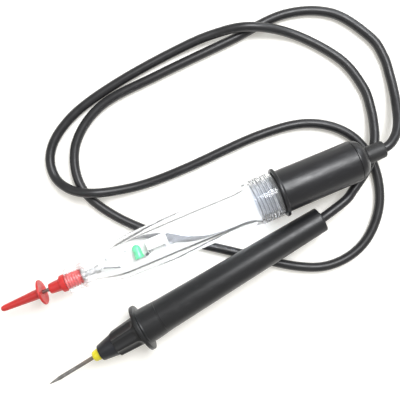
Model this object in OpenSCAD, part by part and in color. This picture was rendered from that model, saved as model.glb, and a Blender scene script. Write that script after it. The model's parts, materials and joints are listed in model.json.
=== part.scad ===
// Two-pole contact voltage tester: a clear-bodied handset with a green lamp and
// a red screw-in nose, joined by one lead to a black hand probe.
// Millimetres, +Z up, everything lies on the plane z = 0. The handset's axis
// runs along X, needle towards -X; the origin is the middle of the footprint
// of the two handsets.

/* [Clear body] */
// Length of the clear body from its front face to the black flange
body_len = 125; // [110:1:150]
// Outer radius of the clear tube
body_r = 12; // [11.5:0.1:12.4]
// Radius of the bore that holds the board
body_bore_r = 8; // [7.4:0.1:8.6]
// Outer radius over the rear thread
thread_zone_r = 12.8; // [12.5:0.1:13.2]
// Length of the rear thread socket
socket_len = 14; // [12:0.5:18]
// Outer radius of the front neck
neck_r = 7.1; // [6.6:0.1:7.6]

/* [Red nose and needle cap] */
// Length of the red nose in front of the clear body
nose_len = 11; // [9:0.5:14]
// Radius of the nose's collar
nose_collar_r = 4.9; // [4.6:0.1:5.6]
// Radius of the steel needle
needle_r = 1; // [0.8:0.05:1.2]
// Bare needle between the nose and the pushed-on cap
bare_needle = 4; // [2:0.5:6]
// Length of the red needle cap
cap_len = 25; // [22:1:30]
// Radius of the cap's thumb flange
cap_flange_r = 7.2; // [6:0.1:8]

/* [Rear cap] */
// Radius of the black flange
flange_r = 14; // [13.5:0.1:15]
// Thickness of the black flange
flange_t = 1.9; // [1.6:0.1:2.4]
// Length of the black cap up to its end plug
grip_len = 45.5; // [40:0.5:56]
// Length of the rounded end plug
plug_len = 7; // [6:0.5:12]
// Length of the rubber gland behind the plug
gland_len = 10.5; // [9:0.5:16]

/* [Hand probe] */
// Radius of the finger guard
guard_r = 13.5; // [13:0.1:14.5]
// Thickness of the finger guard
guard_t = 2.2; // [1.8:0.1:2.8]
// Length from the middle of the guard to the rear end
barrel_len = 116.5; // [110:0.5:122]
// Radius of the barrel's rear end
barrel_end_r = 7; // [6.6:0.1:7.4]
// Length of the probe's bare needle
probe_needle_len = 29; // [20:1:34]
// Radius of the probe's needle
probe_needle_r = 1.15; // [1:0.05:1.3]
// Turn of the probe from the handset's axis, degrees
probe_yaw = 8.5; // [7:0.5:10]

/* [Lead] */
// Diameter of the lead
lead_d = 5.4; // [4.8:0.1:5.4]

/* [Hidden] */

// Placement: both handsets lie level, the probe on its guard, the handset on the lead.
fit_gap = 0.3;
lead_gap = 0.15;
seal_t = 0.6;
seal_gap = 0.15;
joint_gap = seal_t + 2 * seal_gap;
nose_front = -body_len - nose_len;
cap_back = nose_front - bare_needle;
rear_len = grip_len + plug_len + gland_len;
handset_x = (body_len + nose_len + bare_needle + cap_len) / 2 - 32.25;
handset_z = lead_d + body_r + fit_gap;
guard_back_x = 98;
guard_side_y = 40;
guard_reach = guard_r * cos(probe_yaw) + guard_t / 2 * sin(probe_yaw);
handset_y = (guard_side_y + guard_reach - flange_r) / 2;
probe_at = [handset_x - guard_back_x, handset_y - guard_side_y, guard_r];

// Handset inside
nose_thread_r = 4.3;
nose_thread_len = 9.5;
spigot_r = 10.3;
spigot_len = 2.6;
collar_front = -12.6;
collar_bore_r = 8.7;
board_front = -104;
board_len = 38;
board_top = -1.4;
board_t = 1.2;
led_x = -83.4;
block_x = -72;

// Probe outside, from the middle of the guard
fluted_len = 17.5;
bush_len = 9.9;
ring_len = 4.5;
collar_len = 12;
bush_front = -fluted_len - bush_len;
ring_front = bush_front - ring_len;
probe_thread_r = 6.3;
shoulder_r = 1.5;
probe_thread_len = 8;
flutes = 8;
flute_r = 5.5;

// Lead route: hand-laid points between the two straight ends
lead_r = lead_d / 2;
lead_sides = 10;
rings_per_step = 2;
inside_probe = 9;
inside_gland = 2;
inside_plug = 16;
inside_cap = 34;
loop_points = [
    [84, 1, 12], [91, 4.5, 10.1], [98, 8.7, 8.9], [104, 13.1, 8.6], [109.2, 18.5, 8.8],
    [113.2, 24.6, 8], [116.6, 31.5, 6.2], [120.3, 43, 3.5], [121.2, 57, 2.9], [115, 77, 2.8],
    [96, 100, 3.2], [73.5, 112.5, 8.6], [52, 117.6, 5.2], [27, 117.6, 2.9],
    [-6.4, 114.1, 2.7], [-34.3, 108.2, 2.7], [-52, 99.5, 2.7],
    [-61, 89, 2.9], [-62.5, 77, 3.6], [-56.5, 67, 7.2], [-46, 60.3, 8.6], [-31, 56, 5],
    [-14, 53.5, 2.9], [10, 53, 2.7], [55, 54.2, 2.7], [84, 49.5, 2.7], [103, 35, 2.7],
    [109.5, 14, 2.7], [104, -9, 2.7], [88, -26, 2.7], [67, -31, 2.7], [46, -24, 2.7],
    [14, -1, 2.7], [-25, 28, 2.7], [-46, 53, 2.7], [-51, 72, 2.7], [-43, 92, 2.7],
    [-21, 105.5, 2.7], [15, 108.8, 2.7], [60, 111, 2.7], [95, 113, 2.7], [121, 103, 2.7],
    [136, 82, 2.9], [139, 68, 2.9], [138, 56.7, 3.1], [135.8, 46.8, 4.8], [132.9, 38.8, 7.3],
    [129.7, 32.3, 10.6], [126.1, 27.2, 13.7], [121.9, 23.2, 16.1], [117.1, 20.55, 17.5]
];
probe_dir = [cos(probe_yaw), sin(probe_yaw), 0];
lead_route = concat(
    [probe_at + (barrel_len - inside_probe) * probe_dir, probe_at + barrel_len * probe_dir],
    loop_points,
    [[handset_x + rear_len - inside_gland, handset_y, handset_z],
     [handset_x + rear_len - inside_plug, handset_y, handset_z],
     [handset_x + rear_len - inside_cap, handset_y, handset_z]]
);

$fn = 64;

// A body of revolution about X from [radius, x] points.
module turned(outline) {
    rotate([0, 90, 0]) rotate_extrude() polygon(outline);
}

// A plain tube along X.
module ring(x, length, outer, bore) {
    translate([x, 0, 0]) rotate([0, 90, 0]) difference() {
        cylinder(h = length, r = outer);
        translate([0, 0, -1]) cylinder(h = length + 2, r = bore);
    }
}

module rod(x, length, r) {
    translate([x, 0, 0]) rotate([0, 90, 0]) cylinder(h = length, r = r);
}

// A pointed steel needle whose tip is at x.
module pointed_rod(x, length, r, point) {
    turned([[0, x], [0.12, x], [r, x + point], [r, x + length], [0, x + length]]);
}

module on_handset() {
    translate([handset_x, handset_y, handset_z]) children();
}

module on_probe() {
    translate(probe_at) rotate([0, 0, probe_yaw]) children();
}

// ---- Handset ----

// Thick-walled clear tube with a threaded neck and a wider threaded socket.
module clear_body() {
    shoulder_x = -body_len + 32;
    color([0.92, 0.95, 0.95, 0.4]) on_handset() turned([
        [nose_thread_r + fit_gap, -body_len], [neck_r - 0.5, -body_len], [neck_r, -body_len + 0.5],
        [neck_r + 0.2, -body_len + 11], [neck_r + 1.2, -body_len + 17],
        [body_r - 1.4, shoulder_x - 8], [body_r - 0.4, shoulder_x - 2], [body_r - 0.2, shoulder_x + 6],
        [body_r, -socket_len - 3], [thread_zone_r, -socket_len],
        [thread_zone_r, -joint_gap - 0.4], [thread_zone_r - 0.4, -joint_gap],
        [spigot_r + fit_gap, -joint_gap], [spigot_r + fit_gap, -socket_len],
        [body_bore_r, -socket_len - 2.6], [body_bore_r, shoulder_x + 2],
        [body_bore_r - 1, shoulder_x - 6], [nose_thread_r + fit_gap, -body_len + 16]
    ]);
}

// Red nose: a cone and a collar in front, a plain shank standing for its thread.
module red_nose() {
    back = -body_len - joint_gap;
    color("red") on_handset() turned([
        [needle_r, nose_front], [2.5, nose_front], [2.9, nose_front + 0.4],
        [3.5, back - 3.2], [nose_collar_r - 0.3, back - 3.2], [nose_collar_r, back - 2.9],
        [nose_collar_r, back], [nose_thread_r, back], [nose_thread_r, back + nose_thread_len],
        [needle_r, back + nose_thread_len]
    ]);
}

// Steel needle moulded into the nose, with a washer and a contact stud behind it.
module main_needle() {
    tip = cap_back - cap_len + 4.5;
    head = -body_len + nose_thread_len - 0.7;
    color("silver") on_handset() {
        pointed_rod(tip, head - tip + 0.2, needle_r, 5);
        rod(head, 1.2, 3.6);
        rod(head + 1, 2.1, 1.7);
    }
}

// Push-on needle cap with a thumb flange and a rounded closed tip.
module needle_cap() {
    tip = cap_back - cap_len;
    color("red") on_handset() turned([
        [0, tip], [1, tip + 0.25], [1.65, tip + 1.1], [1.85, tip + 2.4], [3, cap_back - 1.6],
        [cap_flange_r - 0.3, cap_back - 1.2], [cap_flange_r, cap_back - 0.9],
        [cap_flange_r, cap_back - 0.3], [cap_flange_r - 0.3, cap_back],
        [needle_r + 0.12, cap_back], [needle_r + 0.12, tip + 3.2], [0, tip + 3.2]
    ]);
}

module nose_seal_ring() {
    color("darkred") on_handset()
        ring(-body_len - seal_gap - seal_t, seal_t, nose_collar_r - 0.2, nose_thread_r + 0.1);
}

module cap_seal_ring() {
    color("dimgray") on_handset()
        ring(-seal_gap - seal_t, seal_t, thread_zone_r - 0.5, spigot_r + 0.1);
}

// Black cap: short spigot, hand flange and grip tube in one moulding.
module rear_cap() {
    color([0.12, 0.12, 0.13]) on_handset() turned([
        [9, -spigot_len], [spigot_r, -spigot_len], [spigot_r, 0], [flange_r - 0.3, 0],
        [flange_r, 0.3], [flange_r, flange_t - 0.3], [flange_r - 0.3, flange_t],
        [12.3, flange_t], [12, flange_t + 0.6], [11.6, grip_len], [9.6, grip_len],
        [9.6, 1], [9, 0]
    ]);
}

// Rounded plug that closes the cap and holds the gland.
module end_plug() {
    color([0.14, 0.14, 0.15]) on_handset() turned([
        [5, grip_len - 6], [9.5, grip_len - 6], [9.5, grip_len + 0.15], [11.4, grip_len + 0.15],
        [11.2, grip_len + 1.6], [10.5, grip_len + 3.2], [9.2, grip_len + 4.8],
        [6.4, grip_len + plug_len - 0.3], [5, grip_len + plug_len], [5, grip_len - 6]
    ]);
}

// Rubber gland that the lead runs through.
module cable_gland() {
    back = grip_len + plug_len;
    color([0.1, 0.1, 0.1]) on_handset() turned([
        [lead_r + lead_gap, grip_len - 8], [6.5, grip_len - 8], [6.5, grip_len - 6.1],
        [4.95, grip_len - 6.1], [4.95, back + 0.5], [5.1, back + 1.4],
        [4.75, back + gland_len - 0.8], [4.2, back + gland_len], [lead_r + lead_gap, back + gland_len]
    ]);
}

// Crimped ring that keeps the lead from pulling out of the gland.
module cable_clamp() {
    color("goldenrod") on_handset() ring(grip_len - 13, 4.6, 4.4, lead_r + lead_gap);
}

// Clear moulding fixed in the cap: a threaded collar that the clear body screws
// on, a disc that closes it, and the strip that carries the board.
module board_carrier() {
    strip_z = board_top - board_t - 1.4;
    seat = -spigot_len - seal_gap;
    disc_t = 1.6;
    color([0.9, 0.93, 0.93, 0.5]) on_handset() difference() {
        union() {
            ring(collar_front, seat - collar_front, spigot_r, collar_bore_r);
            rod(seat - disc_t, disc_t, collar_bore_r + 0.2);
            translate([board_front, -3.5, strip_z]) cube([seat - 0.2 - board_front, 7, 1.4]);
        }
        rod(seat - disc_t - 1, disc_t + 2, 1.3);
    }
}

module circuit_board() {
    color([0.92, 0.92, 0.88]) on_handset()
        translate([board_front, -4.5, board_top - board_t]) cube([board_len, 9, board_t]);
}

// Round-ended green lamp lying across the board on its rim, its two legs bent down.
module green_led() {
    rim_r = 2.9;
    color("green") on_handset() translate([led_x, -3.3, board_top]) {
        translate([0, 0, rim_r]) rotate([-90, 0, 0]) rotate_extrude()
            polygon([[0, 0], [rim_r, 0], [rim_r, 1], [2.5, 1], [2.5, 5.1],
                     for (a = [15:15:90]) [2.5 * cos(a), 5.1 + 2.5 * sin(a)]]);
        for (side = [-1, 1]) translate([side * 1.27, -0.7, 0]) {
            cylinder(h = rim_r + 0.25, r = 0.25);
            translate([0, 0, rim_r]) rotate([-90, 0, 0]) cylinder(h = 0.9, r = 0.25);
        }
    }
}

module block_resistor() {
    color("white") on_handset() translate([block_x - 5.5, -1.2, board_top]) cube([11, 5.4, 5.6]);
}

// Bare wire bridging the board from the front contact to the lamp.
module jumper_wire() {
    color("dimgray") on_handset() translate([-99.6, -2.4, board_top + 1.3]) rotate([0, 0, -23]) {
        rod(-4.2, 8.4, 0.3);
        for (side = [-1, 1]) translate([side * 3.9, 0, -1.3]) cylinder(h = 1.3, r = 0.28);
    }
}

module diode() {
    color([0.15, 0.15, 0.15]) on_handset() translate([-78.6, -2.9, board_top + 0.85])
        rotate([0, 0, 22]) {
            rod(-1.5, 3, 0.8);
            for (side = [-1, 1]) rod(side > 0 ? 1.4 : -2.8, 1.4, 0.2);
        }
}

// Closed rings standing for the coils of a contact spring.
module spring_stack(x, length, coil_r, turns) {
    pitch = length / turns;
    wire_r = 0.25;
    for (i = [0:turns - 1]) translate([x + (i + 0.5) * pitch, 0, 0]) rotate([0, 90, 0])
        rotate_extrude() translate([coil_r, 0]) circle(r = wire_r, $fn = 16);
    for (side = [-1, 1]) translate([x, side * coil_r, 0]) rod(0, length, 0.16);
}

module contact_spring() {
    color("silver") on_handset() spring_stack(-112.8, 4.6, 1.6, 5);
}

module contact_cup() {
    color("gold") on_handset() {
        rod(-108, 2.6, 2.3);
        translate([-106, -1.2, board_top]) cube([2.2, 2.4, 0.5]);
    }
}

// Insulated core from the lead's end to the back of the board.
module lead_core() {
    start = handset_x + rear_len - inside_cap;
    landing_z = board_top + 0.95;
    color("white") on_handset() union() {
        rod(-58, start - handset_x + 58 - 0.1, 0.9);
        for (bend = [[[-58, 0, 0], [-64.5, -2.6, landing_z]],
                     [[-64.5, -2.6, landing_z], [-69, -2.6, landing_z]]])
            hull() for (end = bend) translate(end) sphere(r = 0.9, $fn = 20);
    }
}

// ---- Lead ----

function spline(a, b, c, d, t) =
    0.5 * (2 * b + (c - a) * t + (2 * a - 5 * b + 4 * c - d) * t * t
           + (3 * b - a - 3 * c + d) * t * t * t);
function route_at(i, t) =
    spline(lead_route[max(i - 1, 0)], lead_route[i], lead_route[i + 1],
           lead_route[min(i + 2, len(lead_route) - 1)], t);
lead_path = concat(
    [for (i = [0:len(lead_route) - 2], k = [0:rings_per_step - 1]) route_at(i, k / rings_per_step)],
    [lead_route[len(lead_route) - 1]]
);
function unit(v) = v / norm(v);
function heading(i) =
    unit(lead_path[min(i + 1, len(lead_path) - 1)] - lead_path[max(i - 1, 0)]);
function across(i) = unit(cross([0, 0, 1], heading(i)));
function lead_ring(i) = [
    for (s = [0:lead_sides - 1]) let (a = 360 * (s + 0.5) / lead_sides)
        lead_path[i] + lead_r * (cos(a) * across(i) + sin(a) * cross(heading(i), across(i)))
];

// The whole lead, swept along its route.
module cable() {
    last = len(lead_path) - 1;
    n = lead_sides;
    color([0.13, 0.13, 0.14]) polyhedron(
        points = [for (i = [0:last]) each lead_ring(i)],
        faces = concat(
            [[for (s = [0:n - 1]) s]],
            [for (i = [0:last - 1], s = [0:n - 1])
                [i * n + s, (i + 1) * n + s, (i + 1) * n + (s + 1) % n, i * n + (s + 1) % n]],
            [[for (s = [n - 1:-1:0]) last * n + s]]
        )
    );
}

// ---- Hand probe ----

module probe_barrel() {
    color([0.13, 0.13, 0.14]) on_probe() turned([
        [5, collar_len + 0.15], [9.5, collar_len + 0.15], [9.4, collar_len + 2],
        [barrel_end_r + 0.1, barrel_len - 0.8], [barrel_end_r - 0.6, barrel_len],
        [4.3, barrel_len], [4.3, barrel_len - 8], [5, barrel_len - 8]
    ]);
}

// Finger guard and collar, with the spigot that the barrel is pressed on.
module probe_guard() {
    half = guard_t / 2;
    color([0.13, 0.13, 0.14]) on_probe() turned([
        [probe_thread_r + fit_gap, -half], [guard_r - 0.4, -half], [guard_r, -half + 0.4],
        [guard_r, half - 0.4], [guard_r - 0.4, half], [10.6, half], [10.2, half + 0.6],
        [10, collar_len - 3], [9.5, collar_len], [4.95, collar_len], [4.95, collar_len + 6],
        [3.6, collar_len + 6], [3.6, 9], [probe_thread_r + fit_gap, 9]
    ]);
}

// Tapered nose with long finger flutes and a plain shank for its thread.
module probe_nose() {
    back = -guard_t / 2 - joint_gap;
    color([0.11, 0.11, 0.12]) on_probe() difference() {
        turned([
            [3.4, -fluted_len], [7, -fluted_len], [7.45, -fluted_len + 0.6], [8.5, back - 0.4],
            [8.2, back], [probe_thread_r, back], [probe_thread_r, back + probe_thread_len],
            [2.2, back + probe_thread_len], [2.2, -10], [3.4, -10]
        ]);
        for (i = [0:flutes - 1]) rotate([360 / flutes * i, 0, 0])
            translate([-fluted_len - 1, 0, flute_r + 6.65]) rotate([0, 86, 0])
                cylinder(h = fluted_len - 2, r = flute_r, $fn = 48);
    }
}

// Small stepped bush that holds the needle in the nose.
module tip_bush() {
    color([0.12, 0.13, 0.2]) on_probe() turned([
        [2.4, bush_front], [4.4, bush_front], [4.7, bush_front + 0.4],
        [6.6, -fluted_len - 0.15], [3.3, -fluted_len - 0.15], [3.3, -10.5],
        [1.9, -10.5], [1.9, bush_front + 2.4], [2.4, bush_front + 2.4]
    ]);
}

module yellow_ring() {
    color("gold") on_probe() turned([
        [shoulder_r + 0.05, ring_front], [2.2, ring_front], [3.1, ring_front + 1],
        [3.3, bush_front - 0.1], [2.3, bush_front - 0.1], [2.3, bush_front + 2.3],
        [shoulder_r + 0.05, bush_front + 2.3]
    ]);
}

module probe_needle() {
    tip = ring_front - probe_needle_len;
    head = bush_front + 2.6;
    color("silver") on_probe() {
        pointed_rod(tip, ring_front + 0.15 - tip, probe_needle_r, 7);
        rod(ring_front + 0.05, head - ring_front, shoulder_r);
        rod(head, -head - 9, 1.8);
        rod(-9.2, 14.2, shoulder_r);
    }
}

module probe_seal_ring() {
    color("dimgray") on_probe()
        ring(-guard_t / 2 - seal_gap - seal_t, seal_t, 7.9, probe_thread_r + 0.1);
}

module probe_spring() {
    color("silver") on_probe() spring_stack(5.2, 13.6, 1.7, 10);
}

// Brass sleeve crimped on the lead's end, which the spring bears on.
module probe_terminal() {
    color("gold") on_probe() turned([
        [0, 19], [2.4, 19], [2.4, 22], [1.7, 23], [1.7, barrel_len - inside_probe - 6],
        [2.2, barrel_len - inside_probe - 5], [2.2, barrel_len - inside_probe - 0.1],
        [0, barrel_len - inside_probe - 0.1]
    ]);
}

module probe_grommet() {
    color([0.1, 0.1, 0.1]) on_probe() turned([
        [lead_r + lead_gap, barrel_len - 7.8], [4.2, barrel_len - 7.8], [4.2, barrel_len + 0.4],
        [3.9, barrel_len + 0.8], [lead_r + lead_gap, barrel_len + 0.8]
    ]);
}

clear_body();
red_nose();
main_needle();
needle_cap();
nose_seal_ring();
cap_seal_ring();
rear_cap();
end_plug();
cable_gland();
cable_clamp();
board_carrier();
circuit_board();
green_led();
block_resistor();
jumper_wire();
diode();
contact_spring();
contact_cup();
lead_core();
cable();
probe_barrel();
probe_guard();
probe_nose();
tip_bush();
yellow_ring();
probe_needle();
probe_seal_ring();
probe_spring();
probe_terminal();
probe_grommet();
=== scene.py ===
"""A two-pole voltage tester lying on a white table: a clear handset with a lamp,
a red nose and a capped needle, wired by one lead to a black hand probe.

The handset and the probe are drawn in millimetres along X, needle towards -X,
and then set in their places. Handset x = 0 is the front of the black flange;
probe x = 0 is the middle of the finger guard.
"""

import json
import math

import bmesh
import bpy
from mathutils import Matrix, Vector


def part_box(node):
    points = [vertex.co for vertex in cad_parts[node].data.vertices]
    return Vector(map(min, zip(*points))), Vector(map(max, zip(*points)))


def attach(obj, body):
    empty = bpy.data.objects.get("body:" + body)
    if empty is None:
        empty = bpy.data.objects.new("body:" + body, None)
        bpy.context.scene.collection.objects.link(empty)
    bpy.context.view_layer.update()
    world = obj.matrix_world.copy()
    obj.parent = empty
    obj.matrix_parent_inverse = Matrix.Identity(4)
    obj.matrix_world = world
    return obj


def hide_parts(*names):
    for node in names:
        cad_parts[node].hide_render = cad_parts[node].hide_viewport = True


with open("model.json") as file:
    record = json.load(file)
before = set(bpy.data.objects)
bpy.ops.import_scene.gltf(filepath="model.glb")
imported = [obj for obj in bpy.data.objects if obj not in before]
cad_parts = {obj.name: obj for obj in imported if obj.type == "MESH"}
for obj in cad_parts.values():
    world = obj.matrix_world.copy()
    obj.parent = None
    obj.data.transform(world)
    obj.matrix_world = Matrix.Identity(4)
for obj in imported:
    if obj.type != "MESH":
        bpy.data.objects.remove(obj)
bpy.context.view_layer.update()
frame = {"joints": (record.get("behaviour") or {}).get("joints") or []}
scene = bpy.context.scene

MM = 0.001
TURN = 2 * math.pi
SHARP = math.radians(38)


# ---- Camera ----

camera = bpy.data.objects.new("camera", bpy.data.cameras.new("camera"))
camera.data.sensor_width = 36
camera.data.lens = 49.09
camera.data.clip_start = 0.01
camera.location = (0.00925, 0.0329, 0.3177)
camera.rotation_euler = (0, 0, math.radians(-22.8))
scene.collection.objects.link(camera)
scene.camera = camera


# ---- Where the two handsets lie ----

SPIGOT_LEN = 2.6
cap_low, cap_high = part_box("rear_cap")
handset_at = (cap_low + cap_high) / 2
handset_at.x = cap_low.x + SPIGOT_LEN * MM
nose_screw = next(j for j in frame["joints"] if j["name"] == "probe_nose_turn")
probe_at = Vector(nose_screw["pos_m"])
probe_yaw = math.atan2(-nose_screw["axis"][1], -nose_screw["axis"][0])

TO_METRES = Matrix.Scale(MM, 4)
HANDSET = Matrix.Translation(handset_at) @ TO_METRES
PROBE = Matrix.Translation(probe_at) @ Matrix.Rotation(probe_yaw, 4, "Z") @ TO_METRES


# ---- Finishes ----


class Wire:
    """One output of a shader node, which can be added, multiplied and so on."""

    def __init__(self, finish, socket):
        self.finish = finish
        self.socket = socket

    def sum(self, operation, first, second):
        return self.finish.node(
            "ShaderNodeMath", {"operation": operation}, {0: first, 1: second}
        )

    def __add__(self, other):
        return self.sum("ADD", self, other)

    def __sub__(self, other):
        return self.sum("SUBTRACT", self, other)

    def __mul__(self, other):
        return self.sum("MULTIPLY", self, other)

    def __pow__(self, other):
        return self.sum("POWER", self, other)


class Finish:
    """A material. Its constants go on the surface shader's own sockets."""

    def __init__(self, name, constants):
        self.material = bpy.data.materials.new(name)
        self.material.use_nodes = True
        self.tree = self.material.node_tree
        self.surface = self.tree.nodes["Principled BSDF"]
        self.output = self.tree.nodes["Material Output"]
        for socket, value in constants.items():
            self.feed(self.surface.inputs[socket], value)

    def feed(self, socket, value):
        if isinstance(value, Wire):
            self.tree.links.new(value.socket, socket)
        else:
            socket.default_value = value

    def node(self, kind, settings=None, sockets=None, output=0):
        """Adds a node: its settings first, then what feeds its sockets."""
        made = self.tree.nodes.new(kind)
        for name, value in (settings or {}).items():
            setattr(made, name, value)
        for name, value in (sockets or {}).items():
            self.feed(made.inputs[name], value)
        return Wire(self, made.outputs[output])

    def shade(self, socket, value):
        self.feed(self.surface.inputs[socket], value)

    def where(self, place=None):
        """Object coordinates, or a handset's own ones where place says how it lies."""
        spot = self.node("ShaderNodeTexCoord", output="Object")
        if place is None:
            return spot
        at, yaw = place
        return self.node(
            "ShaderNodeMapping",
            {"vector_type": "TEXTURE"},
            {"Vector": spot, "Location": at, "Rotation": (0, 0, yaw)},
        )

    def axes(self, spot):
        """The three coordinates of a place, in millimetres."""
        split = self.node("ShaderNodeSeparateXYZ", sockets={0: spot})
        sides = [Wire(self, out) for out in split.socket.node.outputs]
        return [side * (1 / MM) for side in sides]

    def along(self, place):
        """Distance along a handset's axis, in millimetres."""
        return self.axes(self.where(place))[0]

    def noise(self, grain_mm, spot=None, detail=3, stretch=None):
        """Soft cloudy noise whose grains are about that many millimetres across."""
        spot = spot or self.where()
        if stretch:
            spot = self.node(
                "ShaderNodeMapping", sockets={"Vector": spot, "Scale": stretch}
            )
        return self.node(
            "ShaderNodeTexNoise",
            sockets={"Vector": spot, "Scale": 1 / (grain_mm * MM), "Detail": detail},
            output="Fac",
        )

    def spread(self, value, low, high, out_low=0.0, out_high=1.0):
        """Stretches a value's useful range to a new one, held at its ends."""
        return self.node(
            "ShaderNodeMapRange",
            {"clamp": True},
            {
                "Value": value,
                "From Min": low,
                "From Max": high,
                "To Min": out_low,
                "To Max": out_high,
            },
        )

    def mix(self, share, first, second):
        return self.node(
            "ShaderNodeMix",
            {"data_type": "RGBA"},
            {"Factor": share, "A": first, "B": second},
            output="Result",
        )

    def bump(self, height, depth_mm, under=None):
        sockets = {"Height": height, "Distance": depth_mm * MM, "Strength": 1.0}
        if under is not None:
            sockets["Normal"] = under
        return self.node("ShaderNodeBump", sockets=sockets, output="Normal")


def rgb(red, green, blue):
    return (red, green, blue, 1.0)


HANDSET_PLACE = (tuple(handset_at), 0.0)
PROBE_PLACE = (tuple(probe_at), probe_yaw)


def moulded(name, colour, roughness, place, grain=0.35, depth=0.006, extra=None):
    """Moulded plastic: fine spark-eroded grain, faint flow marks and handling wear."""
    constants = {"Specular IOR Level": 0.5, "IOR": 1.5}
    constants.update(extra or {})
    made = Finish(name, constants)
    spot = made.where(place)
    flow = made.noise(9, spot, 2, (0.25, 1, 1))
    wear = made.noise(1.6, spot, 5, (0.3, 1, 1))
    fine = made.noise(grain, spot, 2)
    pale = tuple(min(1, c * 1.35 + 0.004) for c in colour[:3]) + (1.0,)
    deep = tuple(c * 0.8 for c in colour[:3]) + (1.0,)
    tone = made.mix(made.spread(flow, 0.35, 0.65), deep, colour)
    rubbed = made.spread(wear, 0.6, 0.75, 0, 0.5)
    made.shade("Base Color", made.mix(rubbed, tone, pale))
    made.shade("Roughness", made.spread(wear, 0.3, 0.7, roughness - 0.06, roughness + 0.07))
    made.shade("Normal", made.bump(fine, depth, made.bump(flow, depth * 3)))
    return made


def metal(name, colour, roughness, place, stain=None, stain_ends=None):
    """Drawn and ground metal: rings round the axis, with a stain where it was hot."""
    made = Finish(name, {"Metallic": 1.0})
    spot = made.where(place)
    rings = made.noise(0.25, spot, 4, (1, 0.15, 0.15))
    cloud = made.noise(2.5, spot, 4)
    dull = tuple(c * 0.6 for c in colour[:3]) + (1.0,)
    tone = made.mix(made.spread(cloud, 0.35, 0.7), dull, colour)
    if stain:
        reach = made.along(place)
        share = made.spread(reach, *stain_ends)
        tone = made.mix(share * made.spread(cloud, 0.3, 0.6, 0.5, 1), tone, stain)
    made.shade("Base Color", tone)
    made.shade("Roughness", made.spread(rings, 0.3, 0.7, roughness - 0.08, roughness + 0.12))
    made.shade("Normal", made.bump(rings, 0.01))
    return made


def clear(name, colour, haze, roughness=0.03, ior=1.3, threads=()):
    """Clear moulded plastic, a little hazed by wear, that lets lamps through to what
    is inside. Bands of colour are painted along its threads, a dark one as painted shade in
    the thread grooves: each is (start, end, least and greatest radius, pitch, colour) in the
    handset's millimetres; one without a pitch is a plain ring."""
    made = Finish(name, {"Transmission Weight": 1 - haze, "IOR": ior})
    spot = made.where(HANDSET_PLACE)
    flow = made.noise(14, spot, 2, (0.3, 1, 1))
    scuff = made.noise(0.7, spot, 5, (0.3, 1, 1))
    tone = colour
    for start, end, least, greatest, pitch, band_colour in threads:
        reach, side, height = made.axes(spot)
        radius = (side * side + height * height) ** 0.5
        turn = made.node(
            "ShaderNodeMath", {"operation": "ARCTAN2"}, {0: height, 1: side}
        )
        phase = (reach * (1 / pitch) - turn * (1 / TURN)) * TURN if pitch else TURN / 4
        wave = made.node("ShaderNodeMath", {"operation": "SINE"}, {0: phase})
        band = made.spread(wave, 0.1, 0.6) * made.spread(reach, start, start + 0.6)
        band = band * made.spread(reach, end, end - 0.6)
        band = band * made.spread(radius, least - 0.05, least)
        band = band * made.spread(radius, greatest + 0.05, greatest)
        band = band * made.spread(scuff, 0.35, 0.6, 0.7, 1)
        # Mixes in each band's colour: the dark cap-thread band is painted shade in the grooves.
        tone = made.mix(band, tone, band_colour)
    made.shade("Base Color", tone)
    made.shade("Roughness", made.spread(scuff, 0.45, 0.75, roughness, roughness + 0.10))
    made.shade("Normal", made.bump(flow, 0.05))
    open_way = made.node("ShaderNodeBsdfTransparent", sockets={"Color": colour})
    shadow = made.node("ShaderNodeLightPath", output="Is Shadow Ray")
    mixed = made.node(
        "ShaderNodeMixShader",
        sockets={0: shadow, 1: Wire(made, made.surface.outputs[0]), 2: open_way},
    )
    made.feed(made.output.inputs["Surface"], mixed)
    return made


clear_plastic = clear(
    "clear acrylic",
    rgb(0.97, 0.98, 0.99),
    0.055,
    ior=1.38,
    threads=(
        # The cap thread's blue-black bands are painted shade in its grooves; the nose thread's bands
        # and ring are a pinkish tint.
        (-14.2, -1.4, 10.2, 11.2, 2, rgb(0.05, 0.06, 0.09)),
        (-124.6, -117.6, 4.2, 5.0, 1.5, rgb(0.55, 0.30, 0.33)),
        (-117.3, -114.9, 4.2, 7.3, 0, rgb(0.62, 0.48, 0.49)),
    ),
)
clear_insert = clear("clear insert", rgb(0.93, 0.945, 0.98), 0.04, 0.05, 1.16)
clear_sleeve = clear("clear core sleeve", rgb(0.97, 0.975, 0.985), 0.03, 0.05, 1.02)
red_plastic = moulded(
    "red nylon",
    rgb(0.64, 0.034, 0.032),
    0.34,
    HANDSET_PLACE,
    extra={"Subsurface Weight": 0.25, "Subsurface Radius": (1, 0.2, 0.1), "Subsurface Scale": 0.001},
)
black_plastic = moulded("black ABS handset", rgb(0.015, 0.0152, 0.0175), 0.34, HANDSET_PLACE)
black_probe = moulded("black ABS probe", rgb(0.014, 0.0145, 0.016), 0.37, PROBE_PLACE)
bush_plastic = moulded("blue-black nylon", rgb(0.014, 0.0155, 0.021), 0.4, PROBE_PLACE)
yellow_plastic = moulded(
    "yellow nylon",
    rgb(0.88, 0.78, 0.03),
    0.28,
    PROBE_PLACE,
    extra={"Subsurface Weight": 0.2, "Subsurface Radius": (1, 0.8, 0.1), "Subsurface Scale": 0.001},
)
black_rubber = moulded("black gland rubber", rgb(0.02, 0.02, 0.021), 0.5, None, 0.2, 0.008)
seal_rubber = moulded("seal rubber", rgb(0.075, 0.072, 0.075), 0.5, None, 0.15, 0.005)
steel = metal(
    "needle steel",
    rgb(0.36, 0.345, 0.33),
    0.36,
    HANDSET_PLACE,
    rgb(0.97, 0.97, 0.97),
    (-117.6, -117),
)
probe_steel = metal(
    "probe needle steel",
    rgb(0.40, 0.39, 0.38),
    0.38,
    PROBE_PLACE,
    rgb(0.28, 0.23, 0.18),
    (-44, -32),
)
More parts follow.
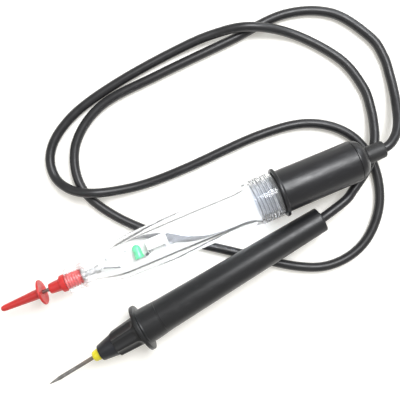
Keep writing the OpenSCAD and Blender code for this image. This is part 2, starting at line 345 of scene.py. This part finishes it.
spring_steel = metal("spring steel", rgb(0.96, 0.96, 0.96), 0.6, None)
tinned = metal("tinned wire", rgb(0.8, 0.8, 0.8), 0.42, None)
bare_wire = metal("bare bridging wire", rgb(0.33, 0.33, 0.34), 0.38, None)
brass = metal("turned brass", rgb(0.72, 0.50, 0.20), 0.3, None)
cup_metal = metal("tinned brass", rgb(0.93, 0.93, 0.92), 0.45, None)
board_white = moulded("white solder resist", rgb(0.83, 0.84, 0.80), 0.4, HANDSET_PLACE, 0.6, 0.004)
ceramic = moulded("white block ceramic", rgb(0.86, 0.86, 0.84), 0.6, HANDSET_PLACE, 0.15, 0.02)
dark_epoxy = moulded("dark epoxy", rgb(0.05, 0.05, 0.055), 0.45, HANDSET_PLACE, 0.2, 0.006)

# The lens's faint glow is painted light that brightens its green.
lens = Finish(
    "green lens",
    {
        "Transmission Weight": 0.2,
        "IOR": 1.5,
        "Roughness": 0.2,
        "Emission Color": rgb(0.08, 0.62, 0.24),
        "Emission Strength": 0.12,
    },
)
lens.shade(
    "Base Color",
    lens.mix(lens.spread(lens.noise(1.5), 0.3, 0.7), rgb(0.02, 0.50, 0.19), rgb(0.07, 0.70, 0.33)),
)

sheath = Finish("black PVC sheath", {"Specular IOR Level": 0.5, "IOR": 1.5})
cloud = sheath.noise(5, None, 3)
grit = sheath.noise(0.5, None, 3)
sheath.shade("Base Color", sheath.mix(cloud, rgb(0.013, 0.013, 0.0145), rgb(0.021, 0.021, 0.023)))
sheath.shade("Roughness", sheath.spread(cloud, 0.3, 0.7, 0.32, 0.44))
sheath.shade("Normal", sheath.bump(grit, 0.008, sheath.bump(cloud, 0.06)))


# ---- Lead ----

INSIDE_PROBE = 107.5
PROBE_END = 116.5
LEAD_D = 5.4
GLAND_END = 63
INSIDE_CAP = (2, 16, 34)
loop_points = [
    (84, 1, 12), (91, 4.5, 10.1), (98, 8.7, 8.9), (104, 13.1, 8.6), (109.2, 18.5, 8.8),
    (113.2, 24.6, 8), (116.6, 31.5, 6.2), (120.3, 43, 3.5), (121.2, 57, 2.9), (115, 77, 2.8),
    (96, 100, 3.2), (73.5, 112.5, 8.6), (52, 117.6, 5.2), (27, 117.6, 2.9),
    (-6.4, 114.1, 2.7), (-34.3, 108.2, 2.7), (-52, 99.5, 2.7),
    (-61, 89, 2.9), (-62.5, 77, 3.6), (-56.5, 67, 7.2), (-46, 60.3, 8.6), (-31, 56, 5),
    (-14, 53.5, 2.9), (10, 53, 2.7), (55, 54.2, 2.7), (84, 49.5, 2.7), (103, 35, 2.7),
    (109.5, 14, 2.7), (104, -9, 2.7), (88, -26, 2.7), (67, -31, 2.7), (46, -24, 2.7),
    (14, -1, 2.7), (-25, 28, 2.7), (-46, 53, 2.7), (-51, 72, 2.7), (-43, 92, 2.7),
    (-21, 105.5, 2.7), (15, 108.8, 2.7), (60, 111, 2.7), (95, 113, 2.7), (121, 103, 2.7),
    (136, 82, 2.9), (139, 68, 2.9), (138, 56.7, 3.1), (135.8, 46.8, 4.8), (132.9, 38.8, 7.3),
    (129.7, 32.3, 10.6), (126.1, 27.2, 13.7), (121.9, 23.2, 16.1), (117.1, 20.55, 17.5),
]
route = [PROBE @ Vector((x, 0, 0)) for x in (INSIDE_PROBE, PROBE_END)]
route += [Vector(point) * MM for point in loop_points]
route += [HANDSET @ Vector((GLAND_END - inside, 0, 0)) for inside in INSIDE_CAP]

lead_curve = bpy.data.curves.new("lead", "CURVE")
lead_curve.dimensions = "3D"
lead_curve.resolution_u = 14
lead_curve.bevel_depth = LEAD_D / 2 * MM
lead_curve.bevel_resolution = 6
lead_curve.use_fill_caps = True
strand = lead_curve.splines.new("BEZIER")
strand.bezier_points.add(len(route) - 1)
for i, spot in enumerate(route):
    before = route[max(i - 1, 0)]
    after = route[min(i + 1, len(route) - 1)]
    knot = strand.bezier_points[i]
    knot.co = spot
    knot.handle_left = spot - (after - before) / 6
    knot.handle_right = spot + (after - before) / 6
lead_curve.materials.append(sheath.material)
lead = bpy.data.objects.new("lead", lead_curve)
scene.collection.objects.link(lead)
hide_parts("cable")
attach(lead, "rear_unit")


# ---- Shaping ----


def ramp(start, end, count):
    """Evenly spaced [radius, x] corners from start to end, both included."""
    share = [i / count for i in range(count + 1)]
    return [
        (start[0] + (end[0] - start[0]) * s, start[1] + (end[1] - start[1]) * s)
        for s in share
    ]


def lathe(outline, steps=96):
    """Spins [radius, x] corners about X. An outline off the axis closes on itself."""
    bm = bmesh.new()
    corners = [bm.verts.new((x, 0, radius)) for radius, x in outline]
    edges = [bm.edges.new(pair) for pair in zip(corners, corners[1:])]
    if outline[0][0] > 0:
        edges.append(bm.edges.new((corners[-1], corners[0])))
    bmesh.ops.spin(
        bm,
        geom=corners + edges,
        cent=(0, 0, 0),
        axis=(1, 0, 0),
        angle=TURN,
        steps=steps,
        use_merge=True,
    )
    bmesh.ops.remove_doubles(bm, verts=bm.verts, dist=1e-4)
    bmesh.ops.recalc_face_normals(bm, faces=bm.faces)
    return bm


def soften(bm, width, segments=2, least=25):
    """Rounds every edge that turns by more than the least angle, in degrees."""
    limit = math.radians(least)
    edges = [
        e for e in bm.edges if len(e.link_faces) == 2 and e.calc_face_angle() > limit
    ]
    bmesh.ops.bevel(
        bm,
        geom=edges,
        offset=width,
        affect="EDGES",
        segments=segments,
        profile=0.5,
        material=-1,
        clamp_overlap=True,
    )
    return bm


def cut_thread(bm, start, end, base, height, pitch, inside=False):
    """Raises a right-hand helical ridge from the rings that lie at the base radius."""
    for v in bm.verts:
        radius = math.hypot(v.co.y, v.co.z)
        if start <= v.co.x <= end and abs(radius - base) < 1e-3:
            fade = min(1, (v.co.x - start) / pitch, (end - v.co.x) / pitch)
            phase = v.co.x / pitch - math.atan2(v.co.z, v.co.y) / TURN
            ridge = 0.5 - 0.5 * math.cos(TURN * phase)
            rise = ridge - 1 if inside else ridge
            grow = (base + height * rise * fade) / radius
            v.co.y *= grow
            v.co.z *= grow
    return bm


def coil(start, length, radius, wire, turns):
    """A helical spring along X with flat-cut ends."""
    bm = bmesh.new()
    made = bmesh.ops.create_circle(
        bm,
        segments=8,
        radius=wire,
        matrix=Matrix.Translation((start + wire, radius, 0)),
    )
    steps = turns * 20
    edges = list(bm.edges)
    bmesh.ops.spin(
        bm,
        geom=made["verts"] + edges,
        cent=(0, 0, 0),
        axis=(1, 0, 0),
        dvec=((length - 2 * wire) / steps, 0, 0),
        angle=TURN * turns,
        steps=steps,
    )
    bmesh.ops.holes_fill(bm, edges=[e for e in bm.edges if e.is_boundary])
    bmesh.ops.recalc_face_normals(bm, faces=bm.faces)
    return bm


def rod(start, length, radius, steps=32):
    end = start + length
    return lathe([(0, start), (radius, start), (radius, end), (0, end)], steps)


def slab(low, size, rounding=0.15):
    """A block with rounded edges, from its lowest corner and its size."""
    bm = bmesh.new()
    middle = Vector(low) + Vector(size) / 2
    shape = Matrix.Translation(middle) @ Matrix.Diagonal((*size, 1))
    bmesh.ops.create_cube(bm, size=1, matrix=shape)
    return soften(bm, rounding)


def moved(bm, matrix):
    bmesh.ops.transform(bm, matrix=matrix, verts=bm.verts)
    return bm


def joined(*shapes):
    whole = shapes[0]
    for shape in shapes[1:]:
        spare = bpy.data.meshes.new("spare")
        shape.to_mesh(spare)
        shape.free()
        whole.from_mesh(spare)
        bpy.data.meshes.remove(spare)
    return whole


def bent_wire(points, radius, name):
    """Corners joined by a round wire with short bends, as a mesh in the corners' own units."""
    curve = bpy.data.curves.new(name, "CURVE")
    curve.dimensions = "3D"
    curve.bevel_depth = radius
    curve.bevel_resolution = 3
    curve.resolution_u = 6
    curve.use_fill_caps = True
    line = curve.splines.new("BEZIER")
    line.bezier_points.add(len(points) - 1)
    for knot, spot in zip(line.bezier_points, points):
        knot.co = spot
        knot.handle_left_type = "AUTO"
        knot.handle_right_type = "AUTO"
    holder = bpy.data.objects.new(name, curve)
    scene.collection.objects.link(holder)
    bpy.context.view_layer.update()
    shape = bmesh.new()
    baked = holder.to_mesh()
    shape.from_mesh(baked)
    holder.to_mesh_clear()
    bpy.data.objects.remove(holder)
    bpy.data.curves.remove(curve)
    bmesh.ops.remove_doubles(shape, verts=shape.verts, dist=1e-5)
    bmesh.ops.recalc_face_normals(shape, faces=shape.faces)
    return shape


def piece(name, bm, place, body, slot, finish, *nodes):
    """Sets a shape in its place as one part of the object."""
    moved(bm, place)
    mesh = bpy.data.meshes.new(name)
    bm.to_mesh(mesh)
    bm.free()
    mesh.shade_smooth()
    mesh.set_sharp_from_angle(angle=SHARP)
    mesh.materials.append(finish.material)
    obj = bpy.data.objects.new(name, mesh)
    scene.collection.objects.link(obj)
    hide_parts(*nodes)
    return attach(obj, body)


UPRIGHT = Matrix.Rotation(-TURN / 4, 4, "Y")


# ---- Clear body ----

BODY_FRONT = -125
BODY_BACK = -0.9
NOSE_PITCH = 1.5
CAP_PITCH = 2


def clear_body():
    outside = [
        (5.1, BODY_FRONT), (6.6, BODY_FRONT), (6.95, -124.8), (7.1, -124.4),
        (7.3, -114), (7.5, -111), (7.95, -108.5), (8.7, -106), (9.55, -103.5),
        (10.35, -101), (11.0, -98.3), (11.45, -95.3), (11.7, -91.5), (11.8, -87),
        (12, -17), (12.15, -15.8), (12.55, -14.5), (12.75, -13.9), (12.8, -13.3),
        (12.8, -1.5), (12.65, -1.1), (12.35, BODY_BACK),
    ]
    socket = [(11.1, BODY_BACK), (10.85, -1.2)]
    socket += ramp((10.85, -2.2), (10.85, -13.6), 76)
    bore = [
        (10.8, -14.0), (10.62, -14.5), (10.25, -15.4), (9.65, -16.8), (9.0, -18.4),
        (8.5, -20), (8.2, -21.5), (8.03, -23), (8, -24.5), (8, -91), (7.85, -94),
        (7.45, -97), (6.9, -100), (6.1, -103.5), (5.4, -106.5), (4.95, -108.6),
        (4.75, -110), (4.75, -114.4),
    ]
    neck = ramp((4.75, -115), (4.75, -124.2), 74)
    bm = lathe(outside + socket + bore + neck, 128)
    cut_thread(bm, -13.6, -2.2, 10.85, 0.45, CAP_PITCH, inside=True)
    cut_thread(bm, -124.2, -115, 4.75, 0.2, NOSE_PITCH, inside=True)
    return bm


piece(
    "clear_body_shell", clear_body(), HANDSET, "front_body", "clear_plastic",
    clear_plastic, "clear_body",
)


# ---- Red nose, needle and needle cap ----

NOSE_BACK = -125.9
NOSE_FRONT = -136
CAP_BACK = -140
CAP_TIP = -165


def red_nose():
    cone = [
        (1.05, NOSE_FRONT + 1.2), (1.3, NOSE_FRONT + 0.1), (2.4, NOSE_FRONT),
        (2.75, NOSE_FRONT + 0.15), (2.95, NOSE_FRONT + 0.5), (3.1, -134.2),
        (3.5, -129.3), (3.7, -129.05), (4.5, -129), (4.8, -128.8), (4.9, -128.4),
        (4.9, -126.4), (4.8, -126), (4.5, NOSE_BACK), (4.15, NOSE_BACK),
    ]
    shank = ramp((4.05, -125.4), (4.05, -117), 68)
    back = [(4.0, -116.7), (3.7, -116.4), (1.05, -116.4)]
    bm = lathe(cone + shank + back, 96)
    return cut_thread(bm, -125.2, -117, 4.05, 0.35, NOSE_PITCH)


def ground_point(tip, radius, taper):
    """Corners of a needle's ground point, with a tiny flat where it has worn."""
    return [
        (0, tip), (0.1, tip + 0.03), (0.17, tip + 0.16), (radius * 0.55, tip + taper * 0.45),
        (radius * 0.9, tip + taper * 0.86), (radius, tip + taper),
    ]


needle = ground_point(CAP_TIP + 4.5, 1.0, 5) + [
    (1, -137.4), (1.16, -137.2), (1.16, -136.7), (1, -136.4), (1, -116.2), (3.4, -116.2),
    (3.6, -116), (3.6, -115.2), (3.4, -115), (1.7, -115), (1.7, -113.3), (1.4, -113), (0, -113),
]

cap = [
    (0, CAP_TIP), (0.7, CAP_TIP + 0.08), (1.2, CAP_TIP + 0.4), (1.55, CAP_TIP + 1),
    (1.75, CAP_TIP + 1.9), (1.85, CAP_TIP + 3.2), (2.95, CAP_BACK - 2.4),
    (3.2, CAP_BACK - 1.9), (3.7, CAP_BACK - 1.55), (5.0, CAP_BACK - 1.35),
    (6.8, CAP_BACK - 1.2), (7.1, CAP_BACK - 1), (7.2, CAP_BACK - 0.7),
    (7.1, CAP_BACK - 0.25), (6.8, CAP_BACK), (3.1, CAP_BACK), (2.8, CAP_BACK - 0.15),
    (1.5, CAP_BACK - 0.2), (1.12, CAP_BACK - 0.6), (1.12, CAP_TIP + 3.4), (0, CAP_TIP + 3),
]

piece("red_nose_moulding", red_nose(), HANDSET, "nose", "red_plastic", red_plastic, "red_nose")
piece("main_needle_ground", lathe(needle, 48), HANDSET, "nose", "steel", steel, "main_needle")
piece(
    "needle_cap_moulding", lathe(cap), HANDSET, "tip_cover", "red_plastic", red_plastic,
    "needle_cap",
)


def seal(x, radius, thickness, height):
    """A moulded seal ring with rounded lips."""
    inner = radius - height / 2
    outer = radius + height / 2
    ring = [(inner, x), (outer, x), (outer, x + thickness), (inner, x + thickness)]
    return soften(lathe(ring), min(thickness, height) * 0.3, 3)


piece(
    "nose_seal", seal(-125.75, 4.55, 0.6, 0.3), HANDSET, "nose_seal", "seal_rubber",
    seal_rubber, "nose_seal_ring",
)
piece(
    "body_seal", seal(-0.75, 11.35, 0.6, 1.8), HANDSET, "body_seal", "seal_rubber",
    seal_rubber, "cap_seal_ring",
)


# ---- Rear cap, end plug and gland ----

rear_cap = [
    (9.2, -2.6), (10.0, -2.6), (10.3, -2.3), (10.3, -0.2), (10.5, 0), (13.5, 0), (13.85, 0.12),
    (14, 0.4), (14, 1.5), (13.85, 1.8), (13.5, 1.9), (12.75, 1.95), (12.4, 2.1),
    (12.15, 2.4), (12.05, 3.1), (11.65, 45), (11.58, 45.35), (11.4, 45.45), (9.65, 45.45),
    (9.6, 45.1), (9.6, 1.2), (9.0, 0.4), (9.0, -2.4),
]
end_plug = [
    (5, 39.5), (9.4, 39.5), (9.45, 45.6), (11.2, 45.6), (11.36, 45.68), (11.42, 45.85),
    (11.35, 46.4), (11.1, 47.4), (10.6, 48.6), (9.9, 49.6), (9.0, 50.4), (7.8, 51.3),
    (6.5, 52.0), (5.7, 52.4), (5, 52.5),
]
gland = [
    (2.85, 37.5), (6.5, 37.5), (6.5, 39.4), (4.95, 39.4), (4.95, 52.7), (5.02, 53.2),
    (4.98, 54.2), (4.8, 61.9), (4.72, 62.5), (4.5, 62.9), (4.1, 63), (3.0, 63), (2.85, 62.8),
]
piece(
    "rear_cap_moulding", lathe(rear_cap, 128), HANDSET, "rear_unit", "black_plastic",
    black_plastic, "rear_cap",
)
piece(
    "end_plug_moulding", lathe(end_plug, 128), HANDSET, "rear_unit", "black_plastic",
    black_plastic, "end_plug",
)
piece(
    "gland_moulding", lathe(gland), HANDSET, "rear_unit", "black_rubber", black_rubber,
    "cable_gland",
)


def clamp():
    ring = lathe([(2.85, 32.5), (4.4, 32.5), (4.4, 37.1), (2.85, 37.1)], 48)
    soften(ring, 0.2)
    for v in ring.verts:
        if v.co.y > 3.4 or v.co.y < -3.4:
            v.co.y *= 0.96
    return ring


piece("cable_clamp_crimp", clamp(), HANDSET, "rear_unit", "brass", brass, "cable_clamp")


# ---- Board carrier, board and what stands on it ----

BOARD_TOP = -1.4
BOARD_T = 1.2
BOARD_FRONT = -104
LED_X = -83.4
LEG_SIDE = 1.27
LAMP_RIM = 2.9


def carrier():
    back = [(9.0, -2.75), (9.6, -2.75), (10.0, -2.95)]
    thread = ramp((9.95, -3.1), (9.95, -12.3), 62)
    front = [(9.8, -12.6), (8.9, -12.6), (8.7, -12.4), (8.7, -4.35), (1.4, -4.35), (1.4, -2.75)]
    collar = lathe(back + thread + front, 128)
    cut_thread(collar, -12.3, -3.1, 9.95, 0.45, CAP_PITCH)
    strip = slab((BOARD_FRONT, -3.5, -4), (99.6, 7, 1.35), 0.2)
    return joined(collar, strip)


def board():
    return slab((BOARD_FRONT, -4.5, BOARD_TOP - BOARD_T), (38, 9, BOARD_T), 0.08)


def pads():
    """Solder fillets where the wires and legs come through the board."""
    spots = [
        (-103.2, -0.88), (-96, -3.92), (LED_X, LEG_SIDE), (LED_X, -LEG_SIDE), (-81.2, -3.95),
        (-76, -1.85), (-68, 2.9), (-76.4, 2.9), (-67.8, -2.6), (-101, 3), (-90, 3.2),
    ]
    fillets = []
    for x, y in spots:
        fillet = lathe([(0, 0), (0.9, 0), (0.85, 0.08), (0.45, 0.18), (0.28, 0.45), (0, 0.5)], 20)
        place = Matrix.Translation((x, y, BOARD_TOP)) @ UPRIGHT
        fillets.append(moved(fillet, place))
    return joined(*fillets)


piece(
    "board_carrier_clear", carrier(), HANDSET, "rear_unit", "clear_plastic", clear_insert,
    "board_carrier",
)
piece(
    "circuit_board_white", board(), HANDSET, "rear_unit", "white_board", board_white,
    "circuit_board",
)
piece("solder_pads", pads(), HANDSET, "rear_unit", "tinned_wire", tinned)

LAMP_PLACE = (
    HANDSET
    @ Matrix.Translation((LED_X, -3.3, BOARD_TOP + LAMP_RIM))
    @ Matrix.Rotation(TURN / 4, 4, "Z")
)


def lamp():
    dome = [(2.4 * math.cos(a), 5.1 + 2.4 * math.sin(a)) for a in
            (math.radians(10 * i) for i in range(1, 9))]
    outline = [(0, 0.05), (2.7, 0.05), (2.8, 0.2), (2.8, 0.85), (2.7, 1.0), (2.45, 1.05),
               (2.4, 1.2), (2.4, 5.1), *dome, (0, 7.5)]
    return lathe(outline, 64)


def lamp_frame():
    """The two leaves inside the lamp: an anvil with its cup, and a post."""
    anvil = slab((0.5, 0.3, -0.2), (2.3, 1.5, 0.4), 0.08)
    cup = lathe([(0, 2.8), (0.8, 2.8), (0.95, 3.5), (0.8, 3.5), (0.3, 3.05), (0, 3.05)], 24)
    post = slab((0.5, -1.4, -0.2), (2.7, 0.6, 0.4), 0.08)
    return joined(anvil, moved(cup, Matrix.Translation((0, 0.6, 0))), post)


def lamp_legs():
    legs = [
        bent_wire([(0.1, s, 0), (-0.45, s, 0), (-0.7, s, -0.3), (-0.7, s, -2.85)], 0.24, "leg")
        for s in (-LEG_SIDE, LEG_SIDE)
    ]
    return joined(*legs)


piece("lamp_lens", lamp(), LAMP_PLACE, "rear_unit", "green_lens", lens, "green_led")
piece("lamp_frame", lamp_frame(), LAMP_PLACE, "rear_unit", "tinned_wire", tinned)
piece("lamp_legs", lamp_legs(), LAMP_PLACE, "rear_unit", "tinned_wire", tinned)


def block_resistor():
    return slab((-77.5, -1.2, BOARD_TOP), (11, 5.4, 5.6), 0.35)


piece(
    "block_resistor_case", block_resistor(), HANDSET, "rear_unit", "white_ceramic", ceramic,
    "block_resistor",
)


def jumper():
    swing = Matrix.Translation((-99.6, -2.4, BOARD_TOP)) @ Matrix.Rotation(math.radians(-23), 4, "Z")
    corners = [(-3.9, 0, 0.05), (-3.9, 0, 0.9), (-3.5, 0, 1.3), (0, 0, 1.36), (3.5, 0, 1.3),
               (3.9, 0, 0.9), (3.9, 0, 0.05)]
    return moved(bent_wire(corners, 0.3, "jumper"), swing)


DIODE_PLACE = (
    HANDSET
    @ Matrix.Translation((-78.6, -2.9, BOARD_TOP + 0.85))
    @ Matrix.Rotation(math.radians(22), 4, "Z")
)


def diode():
    return soften(rod(-1.5, 3, 0.8, 40), 0.2, 3)


def diode_legs():
    legs = [bent_wire([(1.4 * s, 0, 0), (2.3 * s, 0, 0), (2.65 * s, 0, -0.3), (2.7 * s, 0, -0.8)],
                      0.2, "leg") for s in (-1, 1)]
    return joined(*legs)


piece(
    "jumper_wire_bent", jumper(), HANDSET, "rear_unit", "tinned_wire", bare_wire,
    "jumper_wire",
)
piece("diode_case", diode(), DIODE_PLACE, "rear_unit", "dark_epoxy", dark_epoxy, "diode")
piece("diode_legs", diode_legs(), DIODE_PLACE, "rear_unit", "tinned_wire", tinned)
piece(
    "diode_band", lathe([(0.79, 0.7), (0.815, 0.7), (0.815, 1.1), (0.79, 1.1)], 40),
    DIODE_PLACE, "rear_unit", "white_ceramic", ceramic,
)

cup_outline = [
    (0, -107.6), (1.7, -107.6), (1.7, -108), (2.3, -108), (2.3, -105.4), (0, -105.4),
]
contact_cup = joined(
    soften(lathe(cup_outline, 48), 0.12),
    slab((-106, -1.2, BOARD_TOP), (2.2, 2.4, 0.5), 0.08),
)
piece(
    "contact_spring_coil", coil(-112.8, 4.6, 1.6, 0.25, 5), HANDSET, "rear_unit", "steel",
    spring_steel, "contact_spring",
)
piece(
    "contact_cup_turned", contact_cup, HANDSET, "rear_unit", "tinned_wire", cup_metal,
    "contact_cup",
)

core = bent_wire([(28.7, 0, 0), (0, 0, 0), (-50, 0, 0), (-58, -0.1, -0.05), (-64.5, -2.5, -0.42),
                  (-69, -2.6, -0.45)], 0.9, "core")
piece("lead_core_bent", core, HANDSET, "rear_unit", "white_pvc", clear_sleeve, "lead_core")


# ---- Hand probe ----

FLUTES = 8
FLUTE_R = 5.5
NOSE_REAR = -2.0


def probe_nose():
    front = [(3.5, -17.3), (3.7, -17.5), (6.9, -17.5), (7.25, -17.38), (7.38, -17.1)]
    cone = ramp((7.42, -16.5), (8.42, -3), 40)
    back = [(8.5, -2.5), (8.4, -2.15), (8.2, NOSE_REAR), (6.1, NOSE_REAR)]
    shank = ramp((5.95, -1.7), (5.95, 5.4), 56)
    bore = [(5.8, 5.8), (5.5, 6), (2.2, 6), (2.2, -10), (3.4, -10)]
    bm = lathe(front + cone + back + shank + bore, FLUTES * 26)
    cut_thread(bm, -1.5, 5.4, 5.95, 0.35, NOSE_PITCH)
    sector = TURN / FLUTES
    for v in bm.verts:
        radius = math.hypot(v.co.y, v.co.z)
        if radius < 6.2 or v.co.x > -2.6:
            continue
        spread = (v.co.x + 17.5) / 14.5
        lift = 0.9 * max(0, (v.co.x + 5.2) / 2.2) ** 2
        axis = 12.05 + 1.0 * spread + lift
        angle = math.atan2(v.co.z, v.co.y)
        off = (angle + sector / 2) % sector - sector / 2
        side = axis * math.sin(off)
        if abs(side) < FLUTE_R:
            reach = axis * math.cos(off) - math.sqrt(FLUTE_R**2 - side**2)
            if reach < radius:
                v.co.y *= reach / radius
                v.co.z *= reach / radius
    return bm


tip_bush = [
    (2.4, -27.25), (2.55, -27.4), (4.2, -27.4), (4.55, -27.25), (4.72, -26.9), (5.5, -22.6),
    (6.45, -17.95), (6.4, -17.72), (6.2, -17.65), (3.3, -17.65), (3.3, -10.5), (1.9, -10.5),
    (1.9, -25), (2.4, -25),
]
yellow_ring = [
    (1.55, -31.6), (1.7, -31.9), (2.0, -31.9), (2.45, -31.75), (2.85, -31.35), (3.1, -30.6),
    (3.28, -29.2), (3.3, -27.8), (3.15, -27.5), (2.3, -27.5), (2.3, -25.1), (1.55, -25.1),
]
probe_needle = ground_point(-60.9, 1.15, 7) + [
    (1.15, -31.7), (1.5, -31.4), (1.5, -24.9), (1.8, -24.7), (1.8, -9.2), (1.5, -9),
    (1.5, 4.8), (1.3, 5), (0, 5),
]
guard = [
    (6.6, -1.1), (13.2, -1.1), (13.42, -1.02), (13.5, -0.8), (13.5, 0.75), (13.42, 0.98),
    (13.2, 1.05), (10.6, 1.1), (10.35, 1.2), (10.2, 1.45), (10.1, 1.9), (9.9, 8),
    (9.62, 11), (9.55, 11.95), (9.5, 12), (4.95, 12), (4.95, 18), (3.6, 18), (3.6, 9), (6.6, 9),
]
barrel = [
    (5, 12.08), (9.48, 12.08), (9.52, 12.14), (9.52, 12.6), (9.42, 14), (7.12, 115.4),
    (7.05, 116), (6.8, 116.4), (6.4, 116.5), (4.5, 116.5), (4.3, 116.3), (4.3, 108.5), (5, 108.5),
]
grommet = [
    (2.85, 108.8), (4.1, 108.8), (4.2, 109), (4.2, 116.7), (4.1, 117.1), (3.8, 117.3),
    (3.1, 117.3), (2.85, 117.1),
]
terminal = [
    (0, 19), (2.2, 19), (2.4, 19.2), (2.4, 22), (1.7, 23), (1.7, 101.5), (2.2, 102.5),
    (2.2, 107.2), (2.05, 107.4), (0, 107.4),
]

piece(
    "probe_nose_fluted", probe_nose(), PROBE, "probe_tip_unit", "black_plastic",
    black_probe, "probe_nose",
)
piece(
    "tip_bush_turned", lathe(tip_bush), PROBE, "probe_tip_unit", "blue_black_plastic",
    bush_plastic, "tip_bush",
)
piece(
    "yellow_ring_moulding", lathe(yellow_ring), PROBE, "probe_tip_unit", "yellow_plastic",
    yellow_plastic, "yellow_ring",
)
piece(
    "probe_needle_ground", lathe(probe_needle, 48), PROBE, "probe_tip_unit", "steel",
    probe_steel, "probe_needle",
)
piece(
    "probe_guard_moulding", lathe(guard, 128), PROBE, "rear_unit", "black_plastic",
    black_probe, "probe_guard",
)
piece(
    "probe_barrel_moulding", lathe(barrel, 128), PROBE, "rear_unit", "black_plastic",
    black_probe, "probe_barrel",
)
piece(
    "probe_seal", seal(-1.85, 7.15, 0.6, 1.4), PROBE, "probe_seal", "seal_rubber",
    seal_rubber, "probe_seal_ring",
)
piece(
    "probe_spring_coil", coil(5.2, 13.6, 1.7, 0.25, 10), PROBE, "rear_unit", "steel",
    spring_steel, "probe_spring",
)
piece(
    "probe_terminal_turned", lathe(terminal, 40), PROBE, "rear_unit", "brass", brass,
    "probe_terminal",
)
piece(
    "probe_grommet_moulding", lathe(grommet, 64), PROBE, "rear_unit", "black_rubber",
    black_rubber, "probe_grommet",
)


# ---- Table and light ----

table_top = Finish(
    "white table",
    {
        "Specular IOR Level": 0.2,
        "Emission Color": rgb(1.0, 0.965, 0.88),
        "Emission Strength": 0.26,
    },
)
table_top.shade(
    "Base Color",
    table_top.mix(table_top.noise(60, None, 2), rgb(0.86, 0.855, 0.83), rgb(0.89, 0.885, 0.86)),
)
table_top.shade("Roughness", table_top.spread(table_top.noise(3), 0.3, 0.7, 0.55, 0.65))
ground = bmesh.new()
bmesh.ops.create_grid(ground, x_segments=1, y_segments=1, size=3)
ground_mesh = bpy.data.meshes.new("table_top")
ground.to_mesh(ground_mesh)
ground.free()
ground_mesh.materials.append(table_top.material)
floor = bpy.data.objects.new("table_top", ground_mesh)
floor.location.z = -0.0003
scene.collection.objects.link(floor)

world = bpy.data.worlds.new("room")
world.use_nodes = True
sky = world.node_tree.nodes["Background"]
sky.inputs["Color"].default_value = rgb(1.0, 0.98, 0.94)
sky.inputs["Strength"].default_value = 0.5
scene.world = world


def lamp_panel(name, at, size, watts, colour):
    """A soft square light that faces the middle of the object."""
    data = bpy.data.lights.new(name, "AREA")
    data.shape = "SQUARE"
    data.size = size
    data.energy = watts
    data.color = colour
    panel = bpy.data.objects.new(name, data)
    panel.location = at
    aim = Vector((0.02, 0.04, 0)) - Vector(at)
    panel.rotation_euler = aim.to_track_quat("-Z", "Y").to_euler()
    scene.collection.objects.link(panel)


lamp_panel("key_panel", (0.26, 0.20, 0.60), 0.30, 4.2, (0.97, 0.98, 1))
lamp_panel("low_panel", (0.52, 0.36, 0.30), 0.22, 0.9, (0.9, 0.95, 1))
lamp_panel("fill_panel", (-0.45, 0.1, 0.5), 0.3, 0.4, (0.96, 0.98, 1))

scene.view_settings.view_transform = "Standard"
scene.view_settings.look = "None"
